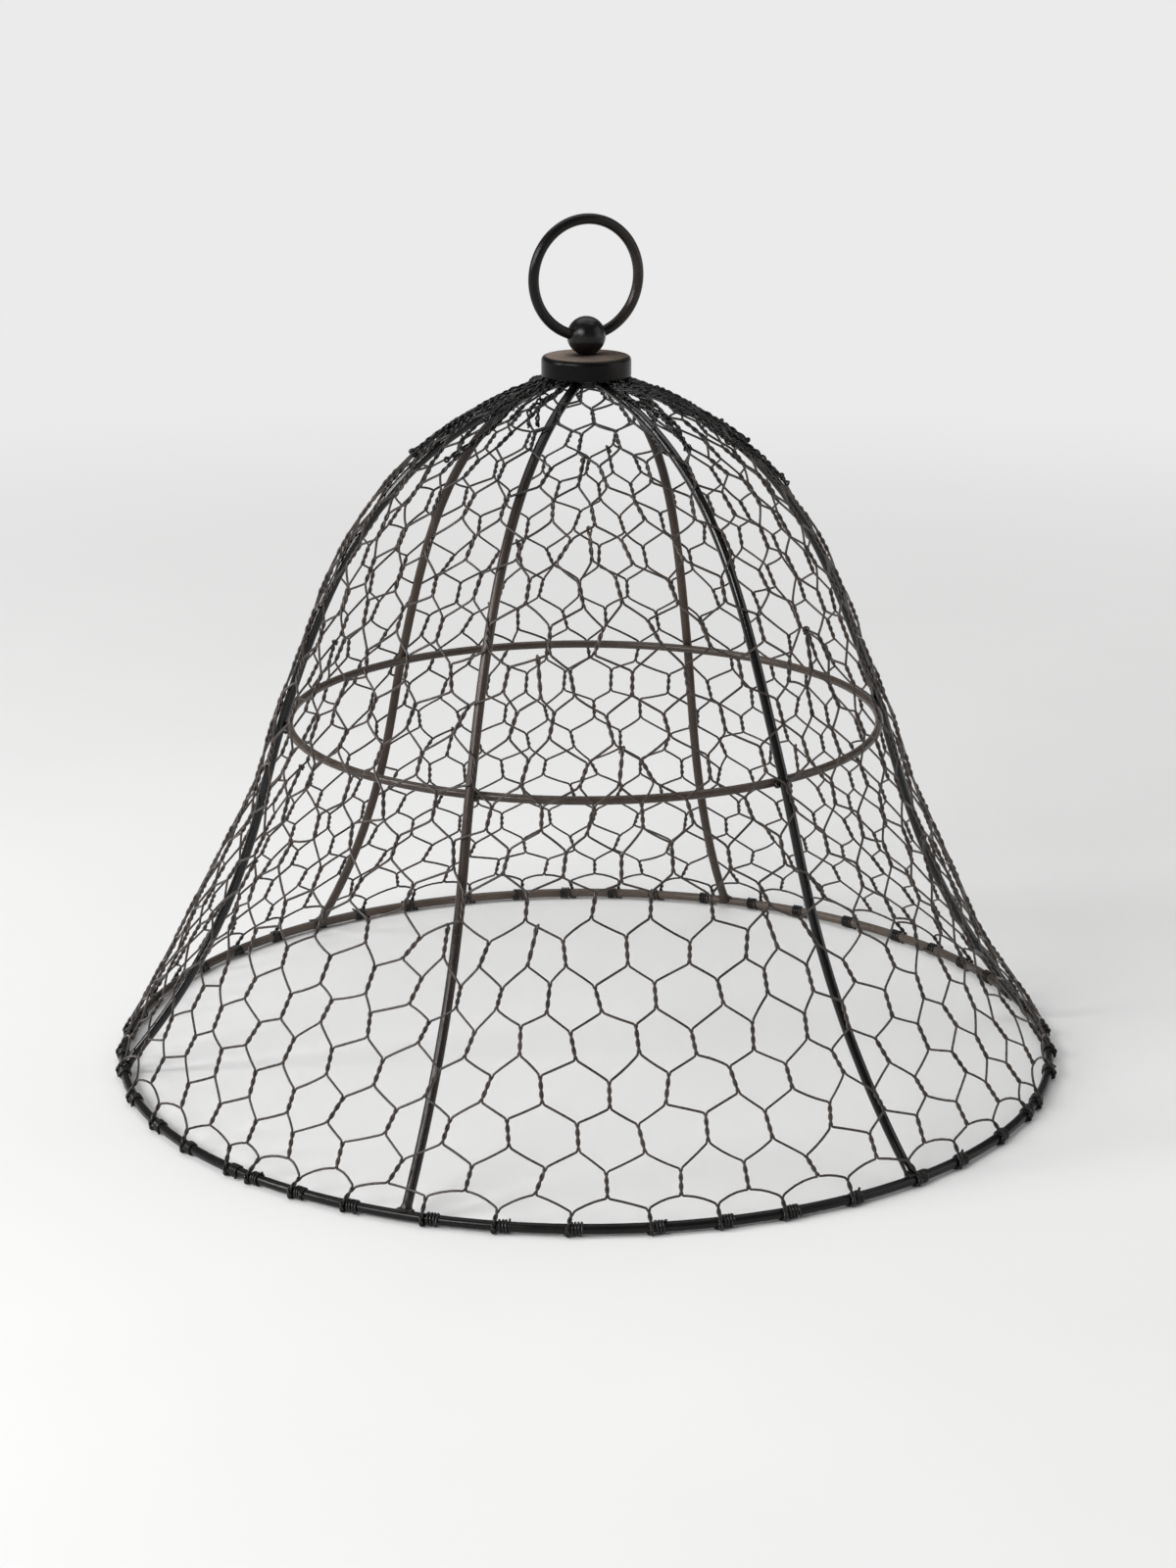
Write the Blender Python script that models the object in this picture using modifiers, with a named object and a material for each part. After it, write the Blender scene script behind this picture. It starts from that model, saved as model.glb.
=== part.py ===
"""Wire cloche: a bell of welded rods, covered outside with hexagonal wire netting.

Metres, +Z up. The front of the bell faces -Y, and an azimuth is counted from the
front, positive towards +X. Heights are counted from the centre of the base ring's
rod, and every piece is parented to an empty at that height above the floor.
"""
import math

import bmesh
import bpy
from mathutils import Matrix, Vector

# Gap kept between pieces that touch, or are welded, on the real object
CLEARANCE = 0.0003

# Base ring, bent from round rod
BASE_RADIUS = 0.200
BASE_ROD = 0.004

# Six ribs, welded on the base ring and on a boss under the cap
RIB_COUNT = 6
RIB_ROD = 0.004
FIRST_RIB_AZIMUTH = math.radians(-20.3)
RIB_BASE_ANGLE = math.radians(48.7)
RIB_WAIST_ANGLE = math.radians(70.7)
RIB_TOP_ANGLE = math.radians(16.0)
WAIST_RADIUS = 0.1286
SKIRT_BASE_PULL = 0.083
SKIRT_WAIST_PULL = 0.030
DOME_WAIST_PULL = 0.069
DOME_TOP_PULL = 0.080

# Middle hoop, welded inside the ribs at the waist
HOOP_HEIGHT = 0.1458
HOOP_ROD = 0.0035

# Cap: a shallow pressed cup, open below
CAP_TOP = 0.2992
CAP_RADIUS = 0.0185
CAP_HEIGHT = 0.0086
CAP_WALL = 0.0012
CAP_EDGE = 0.0018

# Boss that the ribs are welded to
BOSS_RADIUS = 0.008
RIB_ABOVE_BOSS_FOOT = 0.0024

# Screw and washer that clamp boss, cap and ball together
SCREW_RADIUS = 0.002
SCREW_HEAD_RIM = 0.0016
SCREW_HEAD_HEIGHT = 0.0024
WASHER_RIM = 0.0014
WASHER_THICKNESS = 0.001
HEAD_INSET = 0.0002

# Ball and the ring handle that passes through it
BALL_RADIUS = 0.008
BALL_SEAT_RIM = 0.0005
BALL_WEB = 0.0012
HANDLE_RADIUS = 0.0237
HANDLE_ROD = 0.0044
HANDLE_TURN = math.radians(26.0)

# Netting: three panels of hexagonal mesh, drawn coarser than the real one
PANEL_COUNT = 3
FIRST_SEAM_AZIMUTH = math.radians(-50.3)
PANEL_COLUMNS = 8
NET_ROWS = 10
NET_WIRE = 0.0009
NET_STRAND = 0.0014
NET_SAG = 0.0005
NET_TUCK = 0.0028
LEG_SHARE = 0.38
TIE_LENGTH = 0.008
TIE_OVERRUN = 0.0015
WRAP_WIDTH = 0.0032
WRAP_SHIFT = 0.0009
WRAP_SIDES = 6
STEM_SIDES = 3
FOOT_FLAT = 0.0005

# Facets
BASE_SEGMENTS = 84
HOOP_SEGMENTS = 54
HANDLE_SEGMENTS = 40
ROD_SIDES = 8
HANDLE_SIDES = 10
TURNED_STEPS = 24
RIB_POINTS = 22
CURVE_SAMPLES = 160
BALL_ARC_POINTS = 10
EDGE_ARC_POINTS = 4

# Netting and floor, from the sizes above
FLOOR_TO_RING = BASE_ROD / 2 + CLEARANCE + NET_WIRE - FOOT_FLAT
NET_OFFSET = RIB_ROD / 2 + CLEARANCE + NET_STRAND / 2 + NET_SAG
NET_TOP_RADIUS = CAP_RADIUS - CAP_WALL - NET_TUCK

# Top of a rib: the netting over it just clears the cap's rim
CAP_RIM = CAP_TOP - CAP_HEIGHT
RIB_TOP_RADIUS = BOSS_RADIUS + CLEARANCE + RIB_ROD / 2 * math.sin(RIB_TOP_ANGLE)
NET_UNDER_RIM = (NET_OFFSET + NET_STRAND / 2 + CLEARANCE) / math.cos(RIB_TOP_ANGLE)
RIB_RISE_IN_CAP = (CAP_RADIUS - RIB_TOP_RADIUS) * math.tan(RIB_TOP_ANGLE)
RIB_TOP_HEIGHT = CAP_RIM - NET_UNDER_RIM + RIB_RISE_IN_CAP

# Stack on the bell's axis, from the boss down to the screw's head and up to the ball
BORE_RADIUS = SCREW_RADIUS + CLEARANCE
BOSS_TOP = CAP_TOP - CAP_WALL - CLEARANCE
BOSS_FOOT = RIB_TOP_HEIGHT - RIB_ABOVE_BOSS_FOOT
SCREW_SEAT = BOSS_FOOT + HEAD_INSET + SCREW_HEAD_HEIGHT
WASHER_TOP = SCREW_SEAT + CLEARANCE + WASHER_THICKNESS
RECESS_TOP = WASHER_TOP + CLEARANCE
SCREW_HEAD_RADIUS = SCREW_RADIUS + SCREW_HEAD_RIM
WASHER_RADIUS = SCREW_HEAD_RADIUS + WASHER_RIM
RECESS_RADIUS = WASHER_RADIUS + CLEARANCE
BALL_SEAT = CAP_TOP + CLEARANCE
BALL_SEAT_RADIUS = BORE_RADIUS + BALL_SEAT_RIM
BALL_CENTRE = BALL_SEAT + math.sqrt(BALL_RADIUS ** 2 - BALL_SEAT_RADIUS ** 2)
HANDLE_CENTRE = BALL_CENTRE + HANDLE_RADIUS
BALL_BORE_TOP = BALL_CENTRE - HANDLE_ROD / 2 - CLEARANCE - BALL_WEB
SCREW_TIP = BALL_BORE_TOP - CLEARANCE

BLACK_STEEL = (0.018, 0.016, 0.015, 1.0)
WARM_BLACK = (0.030, 0.024, 0.021, 1.0)
NET_BLACK = (0.024, 0.019, 0.017, 1.0)
ZINC = (0.42, 0.42, 0.43, 1.0)


def clear_scene():
    for item in list(bpy.data.objects):
        bpy.data.objects.remove(item, do_unlink=True)


def new_collection(name):
    group = bpy.data.collections.new(name)
    bpy.context.scene.collection.children.link(group)
    return group


def make_material(name, colour, roughness, metallic):
    material = bpy.data.materials.new(name)
    material.use_nodes = True
    shader = material.node_tree.nodes["Principled BSDF"]
    shader.inputs["Base Color"].default_value = colour
    shader.inputs["Roughness"].default_value = roughness
    shader.inputs["Metallic"].default_value = metallic
    material.diffuse_color = colour
    return material


def place(item, group, origin, height=0.0, turn=0.0):
    """Moves an object into its collection, and sets it at a height on the bell's axis."""
    for old in list(item.users_collection):
        old.objects.unlink(item)
    group.objects.link(item)
    item.parent = origin
    item.location = (0.0, 0.0, height)
    item.rotation_euler.z = turn
    return item


def finish_mesh(item, name, material):
    item.name = name
    item.data.name = name
    item.data.materials.clear()
    item.data.materials.append(material)
    item.data.shade_smooth()
    item.data.set_sharp_from_angle(angle=math.radians(35))
    return item


# The bell's outline: two curves that meet at the waist, as radius and height


def cubic(points, t):
    a, b, c, d = points
    s = 1.0 - t
    return a * s ** 3 + b * 3 * s * s * t + c * 3 * s * t * t + d * t ** 3


def climb(angle, length):
    """Step inwards and upwards at an angle from the horizontal."""
    return Vector((-math.cos(angle), math.sin(angle))) * length


def bell_outline():
    """Points down the centre of a rib, from the base ring to the boss."""
    foot = Vector((BASE_RADIUS, 0.0))
    waist = Vector((WAIST_RADIUS, HOOP_HEIGHT))
    top = Vector((RIB_TOP_RADIUS, RIB_TOP_HEIGHT))
    skirt = (foot, foot + climb(RIB_BASE_ANGLE, SKIRT_BASE_PULL),
             waist - climb(RIB_WAIST_ANGLE, SKIRT_WAIST_PULL), waist)
    dome = (waist, waist + climb(RIB_WAIST_ANGLE, DOME_WAIST_PULL),
            top - climb(RIB_TOP_ANGLE, DOME_TOP_PULL), top)
    steps = [i / CURVE_SAMPLES for i in range(CURVE_SAMPLES + 1)]
    return [cubic(skirt, t) for t in steps] + [cubic(dome, t) for t in steps[1:]]


def offset_outline(outline, distance):
    """The outline moved outwards, square to itself."""
    moved = []
    for i, point in enumerate(outline):
        before = outline[max(i - 1, 0)]
        after = outline[min(i + 1, len(outline) - 1)]
        along = (after - before).normalized()
        moved.append(point + Vector((along.y, -along.x)) * distance)
    return moved


def walk(outline, distance):
    """The point at a distance along an outline from its foot."""
    left = distance
    for a, b in zip(outline, outline[1:]):
        step = (b - a).length
        if left <= step:
            return a + (b - a) * (left / step)
        left -= step
    return outline[-1].copy()


def length_to_radius(outline, radius):
    """How far along an outline it has come in to a radius."""
    total = 0.0
    for a, b in zip(outline, outline[1:]):
        if b.x <= radius:
            return total + (b - a).length * (a.x - radius) / (a.x - b.x)
        total += (b - a).length
    return total


def outline_length(outline):
    return sum((b - a).length for a, b in zip(outline, outline[1:]))


def on_bell(point, azimuth):
    """A radius and height as a place in space at an azimuth."""
    return Vector((point.x * math.sin(azimuth), -point.x * math.cos(azimuth), point.y))


# Shapes


def torus(major, minor, segments, sides):
    bpy.ops.mesh.primitive_torus_add(
        major_radius=major, minor_radius=minor,
        major_segments=segments, minor_segments=sides)
    return bpy.context.object


def arc(centre_x, centre_z, radius, start, end, count):
    """Points on an arc in the XZ plane, angles from +X towards +Z."""
    angles = [start + (end - start) * i / (count - 1) for i in range(count)]
    return [(centre_x + radius * math.cos(a), centre_z + radius * math.sin(a)) for a in angles]


def turned(profile, closed):
    """A profile of radius and height, turned about Z by a Screw modifier."""
    mesh = bpy.data.meshes.new("profile")
    edges = [(i, i + 1) for i in range(len(profile) - 1)]
    if closed:
        edges.append((len(profile) - 1, 0))
    mesh.from_pydata([(x, 0.0, z) for x, z in profile], edges, [])
    item = bpy.data.objects.new("profile", mesh)
    bpy.context.scene.collection.objects.link(item)
    screw = item.modifiers.new("turn", "SCREW")
    screw.axis = "Z"
    screw.steps = TURNED_STEPS
    screw.render_steps = TURNED_STEPS
    screw.use_merge_vertices = True
    screw.merge_threshold = 0.00001
    screw.use_smooth_shade = True
    return item


def baked(item):
    """A plain mesh object in place of one with modifiers."""
    bpy.context.view_layer.update()
    solved = item.evaluated_get(bpy.context.evaluated_depsgraph_get())
    mesh = bpy.data.meshes.new_from_object(solved)
    result = bpy.data.objects.new(item.name, mesh)
    bpy.context.scene.collection.objects.link(result)
    result.matrix_world = item.matrix_world
    bpy.data.objects.remove(item, do_unlink=True)
    return result


def add_boolean(item, cutter, operation, own_parts=False):
    step = item.modifiers.new(operation.lower(), "BOOLEAN")
    step.operation = operation
    step.solver = "EXACT"
    step.use_self = own_parts
    step.object = cutter


def make_cutter(item, name, group, origin):
    item.name = name
    item.hide_render = True
    item.display_type = "WIRE"
    place(item, group, origin)
    return item


# The frame


def make_base_ring(parts, origin, material):
    ring = torus(BASE_RADIUS, BASE_ROD / 2, BASE_SEGMENTS, ROD_SIDES)
    place(finish_mesh(ring, "base_ring", material), parts, origin)


def make_middle_hoop(parts, origin, material):
    reach = (RIB_ROD / 2 + CLEARANCE) / math.sin(RIB_WAIST_ANGLE) + HOOP_ROD / 2
    hoop = torus(WAIST_RADIUS - reach, HOOP_ROD / 2, HOOP_SEGMENTS, ROD_SIDES)
    place(finish_mesh(hoop, "middle_hoop", material), parts, origin, HOOP_HEIGHT)


def make_ribs(parts, origin, material):
    outline = bell_outline()
    start = BASE_ROD / 2 + CLEARANCE
    run = outline_length(outline) - start
    curve = bpy.data.curves.new("rib", "CURVE")
    curve.dimensions = "3D"
    curve.bevel_depth = RIB_ROD / 2
    curve.bevel_resolution = 2
    curve.use_fill_caps = True
    spline = curve.splines.new("POLY")
    spline.points.add(RIB_POINTS - 1)
    for i, knot in enumerate(spline.points):
        spot = on_bell(walk(outline, start + run * i / (RIB_POINTS - 1)), 0.0)
        knot.co = (*spot, 1.0)
    curve.materials.append(material)
    for i in range(RIB_COUNT):
        rib = bpy.data.objects.new(f"rib_{i + 1}", curve)
        place(rib, parts, origin, 0.0, FIRST_RIB_AZIMUTH + math.tau * i / RIB_COUNT)


# The top fittings


def make_cap(parts, origin, material):
    inner = CAP_RADIUS - CAP_WALL
    corner = arc(CAP_RADIUS - CAP_EDGE, CAP_TOP - CAP_EDGE, CAP_EDGE,
                 math.pi / 2, 0.0, EDGE_ARC_POINTS)
    profile = [(BORE_RADIUS, CAP_TOP), *corner, (CAP_RADIUS, CAP_RIM), (inner, CAP_RIM),
               (inner, CAP_TOP - CAP_WALL), (BORE_RADIUS, CAP_TOP - CAP_WALL)]
    place(finish_mesh(turned(profile, True), "top_cap", material), parts, origin)


def make_boss(parts, origin, material):
    """The boss, recessed from below for the washer and the screw's head."""
    profile = [(BORE_RADIUS, BOSS_TOP), (BOSS_RADIUS, BOSS_TOP), (BOSS_RADIUS, BOSS_FOOT),
               (RECESS_RADIUS, BOSS_FOOT), (RECESS_RADIUS, RECESS_TOP), (BORE_RADIUS, RECESS_TOP)]
    place(finish_mesh(turned(profile, True), "rib_boss", material), parts, origin)


def make_washer(parts, origin, material):
    foot = WASHER_TOP - WASHER_THICKNESS
    profile = [(BORE_RADIUS, WASHER_TOP), (WASHER_RADIUS, WASHER_TOP),
               (WASHER_RADIUS, foot), (BORE_RADIUS, foot)]
    place(finish_mesh(turned(profile, True), "screw_washer", material), parts, origin)


def make_screw(parts, origin, material):
    foot = SCREW_SEAT - SCREW_HEAD_HEIGHT
    profile = [(0.0, SCREW_TIP), (SCREW_RADIUS, SCREW_TIP), (SCREW_RADIUS, SCREW_SEAT),
               (SCREW_HEAD_RADIUS, SCREW_SEAT), (SCREW_HEAD_RADIUS, foot), (0.0, foot)]
    place(finish_mesh(turned(profile, False), "top_screw", material), parts, origin)


def make_handle(parts, origin, material):
    ring = torus(HANDLE_RADIUS, HANDLE_ROD / 2, HANDLE_SEGMENTS, HANDLE_SIDES)
    ring.data.transform(Matrix.Rotation(math.pi / 2, 4, "X"))
    place(finish_mesh(ring, "ring_handle", material), parts, origin, HANDLE_CENTRE, HANDLE_TURN)


def make_ball(parts, cutters, origin, material):
    low = -math.acos(BALL_SEAT_RADIUS / BALL_RADIUS)
    profile = arc(0.0, BALL_CENTRE, BALL_RADIUS, math.pi / 2, low, BALL_ARC_POINTS)
    profile += [(BORE_RADIUS, BALL_SEAT), (BORE_RADIUS, BALL_BORE_TOP), (0.0, BALL_BORE_TOP)]
    ball = place(baked(turned(profile, False)), parts, origin)
    tunnel = torus(HANDLE_RADIUS, HANDLE_ROD / 2 + CLEARANCE, HANDLE_SEGMENTS, HANDLE_SIDES)
    tunnel.data.transform(Matrix.Rotation(math.pi / 2, 4, "X"))
    tunnel.data.transform(Matrix.Rotation(HANDLE_TURN, 4, "Z"))
    tunnel.data.transform(Matrix.Translation((0.0, 0.0, HANDLE_CENTRE)))
    make_cutter(tunnel, "handle_tunnel", cutters, origin)
    add_boolean(ball, tunnel, "DIFFERENCE")
    finish_mesh(ball, "finial_ball", material)


# The netting


def net_place(outline, column, along):
    """A place on a panel: columns from its first seam, and a length up from the base ring."""
    point = walk(outline, along)
    pitch = math.tau / PANEL_COUNT / PANEL_COLUMNS
    edge = (NET_STRAND + CLEARANCE) / 2 / point.x
    azimuth = min(max(column * pitch, edge), PANEL_COLUMNS * pitch - edge)
    return on_bell(point, azimuth)


def net_levels(outline):
    """Lengths up the netting where each row's twists begin and end."""
    run = length_to_radius(outline, NET_TOP_RADIUS) - TIE_LENGTH
    pitch = run / (NET_ROWS + LEG_SHARE)
    tops = [TIE_LENGTH + pitch * row for row in range(NET_ROWS + 1)]
    feet = [top + pitch * LEG_SHARE for top in tops]
    return tops, feet


def net_cells():
    """Corners of each cell, as a half-column number and whether they end or begin a twist.

    Twists of odd rows stand on whole columns, and those of even rows halfway between.
    A corner is (half column, row, "top" or "foot"), where foot 0 is the first row's foot.
    """
    last = 2 * PANEL_COLUMNS
    for row in range(1, NET_ROWS + 1):
        shift = 1 - row % 2
        for left in range(-shift, last, 2):
            right = left + 2
            if right > last + 1:
                continue
            middle = left + 1
            corners = [(middle, row - 1, "top"), (right, row - 1, "foot"), (right, row, "top"),
                       (middle, row, "foot"), (left, row, "top"), (left, row - 1, "foot")]
            yield [corner for corner in corners if 0 <= corner[0] <= last]


def net_surface(outline):
    """The panel as flat cells, with a vertex where wires meet."""
    tops, feet = net_levels(outline)
    levels = {"top": tops, "foot": feet}
    mesh = bmesh.new()
    known = {}
    for cell in net_cells():
        for corner in cell:
            if corner not in known:
                half, row, end = corner
                spot = net_place(outline, half / 2, levels[end][row])
                known[corner] = mesh.verts.new(spot)
        mesh.faces.new([known[corner] for corner in cell])
    bmesh.ops.recalc_face_normals(mesh, faces=mesh.faces)
    data = bpy.data.meshes.new("net_surface")
    mesh.to_mesh(data)
    mesh.free()
    panel = bpy.data.objects.new("net_surface", data)
    bpy.context.scene.collection.objects.link(panel)
    wires = panel.modifiers.new("wires", "WIREFRAME")
    wires.thickness = NET_STRAND
    wires.use_even_offset = True
    wires.use_boundary = True
    wires.use_replace = True
    return panel


def tie_azimuths():
    pitch = math.tau / PANEL_COUNT / PANEL_COLUMNS
    return [pitch * (column + 0.5) for column in range(PANEL_COLUMNS)]


def make_ties(outline, cutters, origin):
    """Straight stems that carry the netting down across the base ring's outer face."""
    upper = walk(outline, TIE_LENGTH)
    out = Vector((math.sin(RIB_BASE_ANGLE), math.cos(RIB_BASE_ANGLE)))
    lower = Vector((BASE_RADIUS, 0.0)) + out * (BASE_ROD / 2 + CLEARANCE + NET_STRAND / 2)
    lower -= climb(RIB_BASE_ANGLE, TIE_OVERRUN)
    mesh = bmesh.new()
    for azimuth in tie_azimuths():
        start = on_bell(lower, azimuth)
        end = on_bell(upper, azimuth)
        turn = (end - start).to_track_quat("Z", "Y").to_matrix().to_4x4()
        bmesh.ops.create_cone(
            mesh, cap_ends=True, segments=STEM_SIDES, radius1=NET_STRAND / 2, radius2=NET_STRAND / 2,
            depth=(end - start).length, matrix=Matrix.Translation((start + end) / 2) @ turn)
    data = bpy.data.meshes.new("ties")
    mesh.to_mesh(data)
    mesh.free()
    return make_cutter(bpy.data.objects.new("ties", data), "ties", cutters, origin)


def make_wraps(cutters, origin):
    """A band round the base ring's rod for the turns of wire at the foot of each stem."""
    outer = (BASE_ROD / 2 + CLEARANCE + NET_WIRE) / math.cos(math.pi / WRAP_SIDES)
    flat_down = Matrix.Rotation(math.pi / WRAP_SIDES, 4, "Z")
    lying = Matrix.Rotation(math.pi / 2, 4, "Y")
    mesh = bmesh.new()
    for azimuth in tie_azimuths():
        shifted = azimuth + WRAP_SHIFT / BASE_RADIUS
        spot = on_bell(Vector((BASE_RADIUS, 0.0)), shifted)
        turn = Matrix.Rotation(shifted, 4, "Z") @ lying @ flat_down
        bmesh.ops.create_cone(
            mesh, cap_ends=False, segments=WRAP_SIDES, radius1=outer, radius2=outer,
            depth=WRAP_WIDTH, matrix=Matrix.Translation(spot) @ turn)
    data = bpy.data.meshes.new("wraps")
    mesh.to_mesh(data)
    mesh.free()
    wraps = make_cutter(bpy.data.objects.new("wraps", data), "wraps", cutters, origin)
    wall = wraps.modifiers.new("wall", "SOLIDIFY")
    wall.thickness = NET_WIRE
    wall.offset = -1.0
    wall.use_even_offset = True
    return wraps


def make_floor_slab(cutters, origin):
    """Block below the floor, which cuts the bands flat where the bell stands on them."""
    depth = 4 * BASE_ROD
    bpy.ops.mesh.primitive_cube_add(size=1.0)
    slab = bpy.context.object
    slab.data.transform(Matrix.Diagonal((3 * BASE_RADIUS, 3 * BASE_RADIUS, depth, 1.0)))
    slab.data.transform(Matrix.Translation((0.0, 0.0, -FLOOR_TO_RING - depth / 2)))
    return make_cutter(slab, "floor_slab", cutters, origin)


def make_netting(parts, cutters, origin, material):
    outline = offset_outline(bell_outline(), NET_OFFSET)
    panel = net_surface(outline)
    panel.parent = origin
    add_boolean(panel, make_ties(outline, cutters, origin), "UNION")
    add_boolean(panel, make_wraps(cutters, origin), "UNION")
    add_boolean(panel, make_floor_slab(cutters, origin), "DIFFERENCE")
    panel = baked(panel)
    for i in range(PANEL_COUNT):
        copy = bpy.data.objects.new(f"netting_panel_{i + 1}", panel.data)
        bpy.context.scene.collection.objects.link(copy)
        place(copy, parts, origin, 0.0, FIRST_SEAM_AZIMUTH + math.tau * i / PANEL_COUNT)
    finish_mesh(panel, "netting", material)
    bpy.data.objects.remove(panel, do_unlink=True)


def main():
    clear_scene()
    parts = new_collection("wire_cloche")
    cutters = new_collection("wire_cloche_cutters")
    origin = bpy.data.objects.new("ring_plane", None)
    origin.location = (0.0, 0.0, FLOOR_TO_RING)
    parts.objects.link(origin)
    make_base_ring(parts, origin, make_material("base ring black", BLACK_STEEL, 0.42, 0.6))
    make_middle_hoop(parts, origin, make_material("hoop black", BLACK_STEEL, 0.45, 0.6))
    make_ribs(parts, origin, make_material("rib black", BLACK_STEEL, 0.40, 0.6))
    make_cap(parts, origin, make_material("cap black", WARM_BLACK, 0.45, 0.5))
    make_boss(parts, origin, make_material("boss black", BLACK_STEEL, 0.5, 0.6))
    make_washer(parts, origin, make_material("washer zinc", ZINC, 0.4, 1.0))
    make_screw(parts, origin, make_material("screw zinc", ZINC, 0.35, 1.0))
    make_handle(parts, origin, make_material("handle black", BLACK_STEEL, 0.38, 0.6))
    make_ball(parts, cutters, origin, make_material("ball black", BLACK_STEEL, 0.35, 0.6))
    make_netting(parts, cutters, origin, make_material("netting black", NET_BLACK, 0.5, 0.6))
    bpy.context.view_layer.update()


main()
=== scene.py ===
"""Looks of the wire cloche: painted rod frame, turned cap and ball, and hexagonal netting
of twisted wire that is hooked where its columns end and wrapped round the base ring."""
import random
from math import acos, atan2, cos, degrees, exp, pi, radians, sin, tau

import bmesh
import bpy
import numpy as np
from mathutils import Matrix, Vector, noise


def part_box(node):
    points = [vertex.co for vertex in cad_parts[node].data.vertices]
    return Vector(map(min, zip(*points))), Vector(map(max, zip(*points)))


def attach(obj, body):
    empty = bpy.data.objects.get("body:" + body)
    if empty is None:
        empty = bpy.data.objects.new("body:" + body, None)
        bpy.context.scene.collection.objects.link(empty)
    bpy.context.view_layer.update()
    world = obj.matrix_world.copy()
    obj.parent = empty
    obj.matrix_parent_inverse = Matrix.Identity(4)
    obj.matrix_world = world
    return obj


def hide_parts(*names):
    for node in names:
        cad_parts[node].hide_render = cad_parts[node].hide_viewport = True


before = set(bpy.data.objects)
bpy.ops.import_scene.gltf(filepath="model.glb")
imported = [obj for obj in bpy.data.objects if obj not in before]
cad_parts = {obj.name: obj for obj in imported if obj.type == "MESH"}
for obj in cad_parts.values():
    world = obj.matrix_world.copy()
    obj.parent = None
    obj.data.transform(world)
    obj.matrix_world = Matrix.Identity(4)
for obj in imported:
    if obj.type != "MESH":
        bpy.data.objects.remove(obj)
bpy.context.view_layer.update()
UP = Vector((0.0, 0.0, 1.0))

# Frame rods, in metres. Heights are counted from the centre of the base ring's rod
BASE_RADIUS = 0.2
BASE_ROD = 0.004
RIB_ROD = 0.004
HOOP_ROD = 0.0035
HANDLE_ROD = 0.0044
RIB_COUNT = 6
FIRST_RIB_AZIMUTH = radians(-20.3)
RIB_PAINTS = ("plain", "dark", "dark", "brown", "brown", "dark")

# The ribs' outline: a skirt and a dome that meet at the waist, with the slope at each end
# and how far that slope is held
WAIST_RADIUS = 0.1286
HOOP_HEIGHT = 0.1458
RIB_BASE_ANGLE = radians(48.7)
RIB_WAIST_ANGLE = radians(70.7)
RIB_TOP_ANGLE = radians(16.0)
SKIRT_BASE_PULL = 0.083
SKIRT_WAIST_PULL = 0.03
DOME_WAIST_PULL = 0.069
DOME_TOP_PULL = 0.08
OUTLINE_STEPS = 240
RIB_STEPS = 120

# A rib's ends: its gap to the boss, height above the boss's foot, and depth in the base ring
GAP = 0.0003
RIB_END_RISE = 0.0024
RIB_FOOT_SINK = 0.0006

# The hand-built bell's lean to the left, and the flare of a rib's foot into its weld: a height
# or a length up the bell, its spread, and how far
LEAN = (0.185, 0.075, 0.0011)
FOOT_FLARE = (0.0, 0.0016, 0.0009)

# How far each rib is bent sideways at these heights
SWAY_HEIGHTS = (0.0, 0.075, 0.1458, 0.225, 0.2887)
RIB_SWAYS = (
    (0.0003, 0.0, 0.0002, -0.0004, 0.0),
    (0.0, -0.0026, -0.0043, -0.0036, 0.0),
    (0.0, 0.0, 0.0011, 0.001, 0.0),
    (0.0012, -0.0005, -0.0028, -0.0043, 0.0),
    (0.0014, 0.002, 0.001, 0.0014, 0.0),
    (0.0006, 0.0006, -0.0011, -0.0012, 0.0),
)

# Weld beads: how far beside, inside and below their place, and three half sizes
HOOP_BEAD = (0.0016, 0.0004, 0.0, 0.0017, 0.0013, 0.0015)
FOOT_BEAD = (0.002, 0.0008, 0.0001, 0.0018, 0.0014, 0.0009)
BOSS_BEAD = (0.0, 0.0004, 0.0, 0.0027, 0.0014, 0.0026)

# Fittings
SCREW_HOLE = 0.0023
CAP_WALL = 0.0012
BALL_FOOT = 0.0028
SHANK = 0.00195
HEAD_HEIGHT = 0.0024
THREAD_PITCH = 0.0007
THREAD_DEPTH = 0.00038
SOCKET_RADIUS = 0.0014

# Netting wire, and how it lies: outside the ribs' centrelines, drawn by this share towards a
# straight line across the flare, on the ribs again from this height, up to this radius
WIRE = 0.001
WIRE_SIDES = 6
NET_OFFSET = 0.0029
NET_PULL = 0.76
NET_TOUCH = 0.119
NET_TOP_RADIUS = 0.0135

# Rows of the netting, as lengths up from the base ring, and the slow wave in them
STEM_TOP = 0.007
FIRST_ROW = 0.0112
ROW_PITCH = 0.01745
TWIST_LENGTH = 0.0103
ROW_COUNT = 20
WAVE_HEIGHT = 0.0011

# Errors of the hand in each twist: its height, its length, and its place and lean sideways
ROW_ERROR = 0.0008
LENGTH_ERROR = 0.0008
SHIFT_ERROR = 0.001
LEAN_ERROR = 0.0009
STEM_LEAN_ERROR = 0.0009
BOW_ERROR = 0.00035

# Turns of a twisted pair, points for a turn, each wire's distance from the pair's middle, and
# where the points of a leg between two pairs lie
TWIST_TURNS = 1.5
STEM_TURNS = 1.0
HELIX_STEPS = 8
HELIX_RADIUS = 0.00051
LEG_POINTS = (0.06, 0.14, 0.38, 0.62, 0.86, 0.94)
STEM_BOW = 0.0011

# How strongly the wires hold their azimuths, and how far the top row crowds to the two sides
TWIST_HOLD = 1.6
LEG_HOLD = 1.0
HOOK_HOLD = 0.5
TOP_HOLD = 4.0
SIDE_CROWDING = 0.1

# The three panels, in degrees from the front: the left seam of the first, and their width
FIRST_SEAM = -50.3
PANEL_WIDTH = 120.0

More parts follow.
